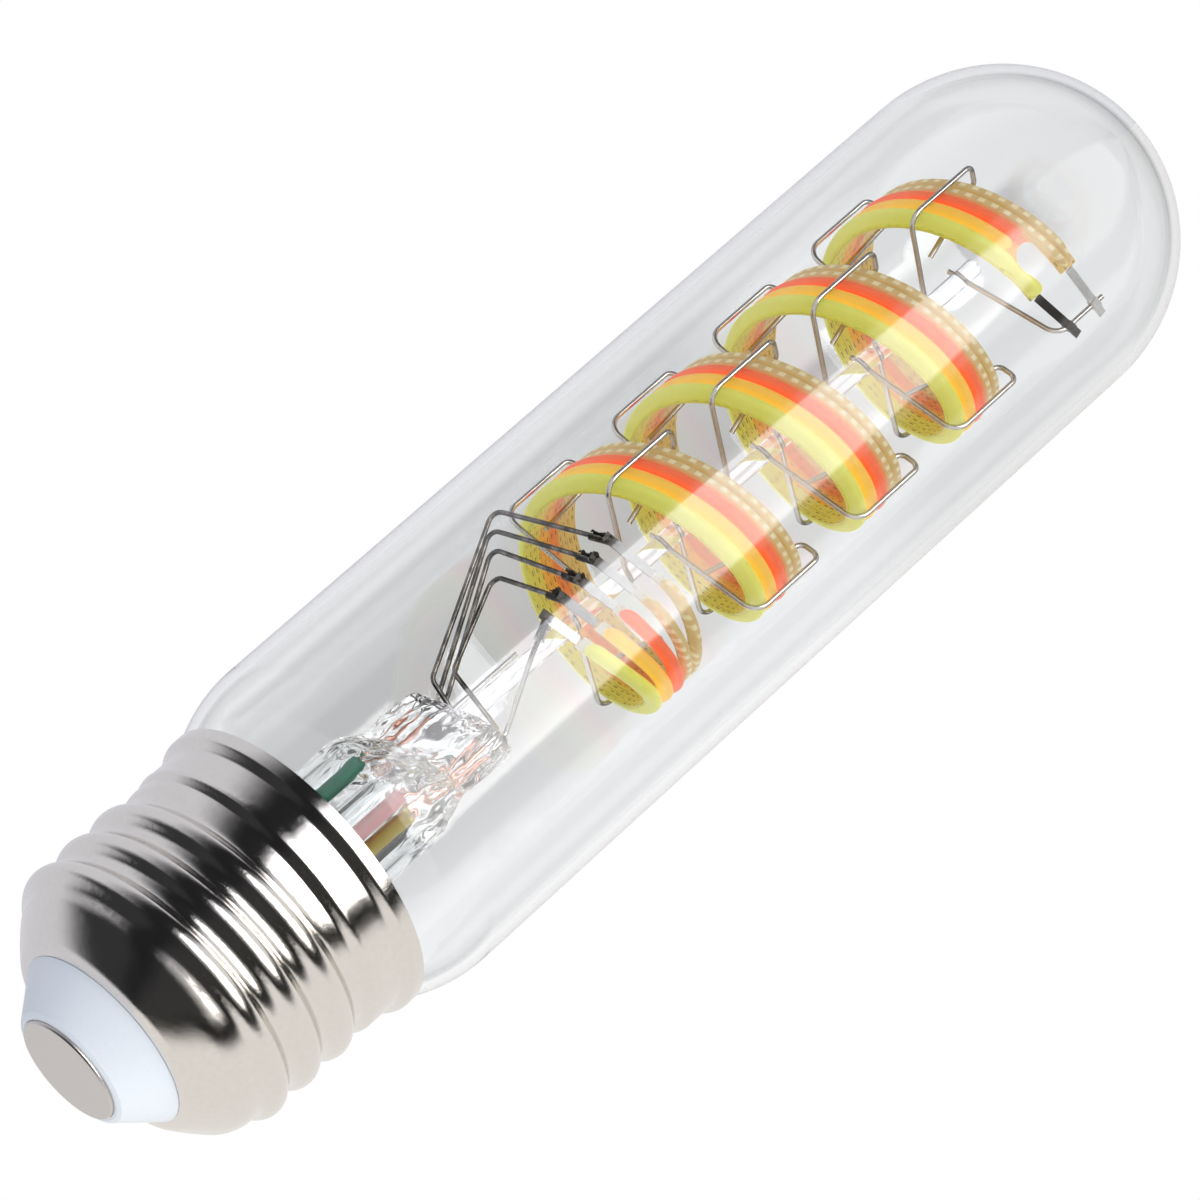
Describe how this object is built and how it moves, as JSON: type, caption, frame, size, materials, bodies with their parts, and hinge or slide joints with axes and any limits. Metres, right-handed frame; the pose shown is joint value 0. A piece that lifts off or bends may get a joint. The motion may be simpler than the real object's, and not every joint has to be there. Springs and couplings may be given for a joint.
{
  "type": "tubular light bulb",
  "caption": "Clear tubular glass lamp with a screw cap and a coiled ribbon of coloured light strands held by wire hooks.",
  "frame": {"origin": "middle of the centre contact's outer face, on the lamp's axis", "axes": "+Z along the lamp's axis from the cap to the tip; -Y towards the camera in the picture"},
  "size_m": [0.0302, 0.0302, 0.1259],
  "materials": {
    "cement": "matt",
    "amber_silicone": "satin",
    "cool_white_silicone": "satin",
    "lime_silicone": "satin",
    "red_silicone": "satin",
    "warm_white_silicone": "satin",
    "component": "satin",
    "contact_metal": "satin",
    "lead_wire": "satin",
    "copper_wire": "satin",
    "board": "satin",
    "clear_glass": "polished",
    "ribbon": "satin",
    "ceramic_insulator": "satin",
    "nickel": "polished",
    "black_sleeve": "satin",
    "green_sleeve": "satin",
    "red_sleeve": "satin",
    "white_sleeve": "satin",
    "yellow_sleeve": "satin",
    "aluminium_can": "satin"
  },
  "bodies": {
    "root": {"basing_cement": "cement", "bead_amber": "amber_silicone", "bead_cool_white": "cool_white_silicone", "bead_lime": "lime_silicone", "bead_red": "red_silicone", "bead_warm_white": "warm_white_silicone", "bridge_rectifier": "component", "centre_contact": "contact_metal", "common_end_wire": "lead_wire", "contact_lead": "copper_wire", "control_chip": "component", "driver_board": "board", "end_tab_lime": "lead_wire", "end_tab_white": "lead_wire", "exhaust_tube": "clear_glass", "filament_strip": "ribbon", "filter_choke": "component", "fuse_lead": "copper_wire", "fuse_resistor": "component", "glass_envelope": "clear_glass", "glass_stem": "clear_glass", "hooks_turn_1": "lead_wire", "hooks_turn_2": "lead_wire", "hooks_turn_3": "lead_wire", "hooks_turn_4": "lead_wire", "insulator": "ceramic_insulator", "lead_amber": "lead_wire", "lead_cool_white": "lead_wire", "lead_lime": "lead_wire", "lead_red": "lead_wire", "lead_warm_white": "lead_wire", "screw_shell": "nickel", "seal_wire_amber": "copper_wire", "seal_wire_cool_white": "copper_wire", "seal_wire_lime": "copper_wire", "seal_wire_red": "copper_wire", "seal_wire_warm_white": "copper_wire", "shell_lead": "copper_wire", "sleeve_black": "black_sleeve", "sleeve_green": "green_sleeve", "sleeve_red": "red_sleeve", "sleeve_white": "white_sleeve", "sleeve_yellow": "yellow_sleeve", "smoothing_capacitor": "aluminium_can", "start_tab_amber": "lead_wire", "start_tab_cool_white": "lead_wire", "start_tab_lime": "lead_wire", "start_tab_red": "lead_wire", "start_tab_warm_white": "lead_wire", "support_rod": "clear_glass"}
  },
  "joints": []
}
